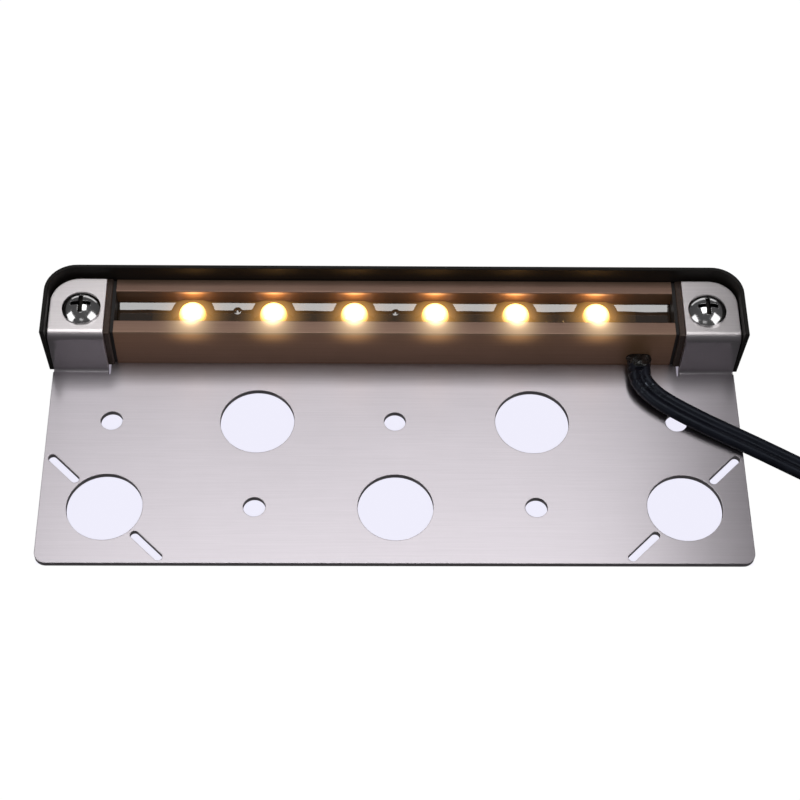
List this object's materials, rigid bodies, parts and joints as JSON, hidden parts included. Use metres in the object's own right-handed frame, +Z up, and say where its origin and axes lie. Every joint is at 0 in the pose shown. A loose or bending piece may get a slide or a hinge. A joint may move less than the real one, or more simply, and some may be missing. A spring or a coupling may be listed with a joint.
{
  "type": "hardscape light bar",
  "caption": "Slim low-voltage LED light bar for walls and steps: bronze extrusion with potted LEDs in a black hood, clamped by ears to a perforated stainless mounting plate.",
  "frame": {"origin": "middle of the underside of the lamp and plate without the free cord, on the surface the plate lies on", "axes": "+X along the light bar towards the cord's end, +Y from the plate's free edge to the hood, +Z up, the way the LEDs shine as it lies; installed, -Z points up at the cap stone"},
  "size_m": [0.2836, 0.0864, 0.0202],
  "materials": {
    "stainless_sheet": "satin brushed stainless sheet, grain along the bar",
    "black_shell": "smooth satin black",
    "bronze_extrusion": "satin bronze anodised, fine drawn lines along the bar",
    "bronze_cap": "satin dark bronze",
    "gasket_rubber": "matte black",
    "polished_screw": "polished stainless",
    "thermal_tape": "matte white tape",
    "lamp_board": "dark solder mask",
    "led_package": "white package",
    "led_dome": "warm glowing dome",
    "clear_resin": "clear glossy potting resin",
    "solder": "bright solder",
    "red_insulation": "satin red",
    "black_insulation": "satin black",
    "insulating_pad": "soft grey-blue pad",
    "driver_board": "green solder mask",
    "component_black": "moulded black",
    "component_grey": "dark ferrite",
    "component_tan": "ceramic tan",
    "sealant": "glossy black sealant",
    "cord_sheath": "satin black PVC",
    "tie_strap": "matte black strap",
    "copper_strands": "bare twisted copper"
  },
  "bodies": {
    "root": {"bracket_screw_left": "polished_screw", "bracket_screw_right": "polished_screw", "bridge_rectifier": "component_black", "cord_coil": "cord_sheath", "cord_end_cores": "cord_sheath", "cord_end_strands": "copper_strands", "cord_grommet": "gasket_rubber", "cord_inlet": "cord_sheath", "cord_seal": "sealant", "cord_tie": "tie_strap", "cord_tube": "cord_sheath", "driver_board": "driver_board", "driver_chip": "component_black", "driver_pad": "insulating_pad", "end_cap_left": "bronze_cap", "end_cap_right": "bronze_cap", "end_gasket_left": "gasket_rubber", "end_gasket_right": "gasket_rubber", "hood": "black_shell", "inductor": "component_grey", "inner_core_far": "black_insulation", "inner_core_near": "black_insulation", "lead_solder": "solder", "led_board": "lamp_board", "led_emitter_1": "led_package", "led_emitter_2": "led_package", "led_emitter_3": "led_package", "led_emitter_4": "led_package", "led_emitter_5": "led_package", "led_emitter_6": "led_package", "led_lead_black": "black_insulation", "led_lead_red": "red_insulation", "led_lens_1": "led_dome", "led_lens_2": "led_dome", "led_lens_3": "led_dome", "led_lens_4": "led_dome", "led_lens_5": "led_dome", "led_lens_6": "led_dome", "light_bar_body": "bronze_extrusion", "mounting_plate": "stainless_sheet", "potting_resin": "clear_resin", "sense_resistor": "component_black", "smoothing_capacitor": "component_tan", "surge_diode": "component_black", "thermal_tape": "thermal_tape"}
  },
  "joints": []
}
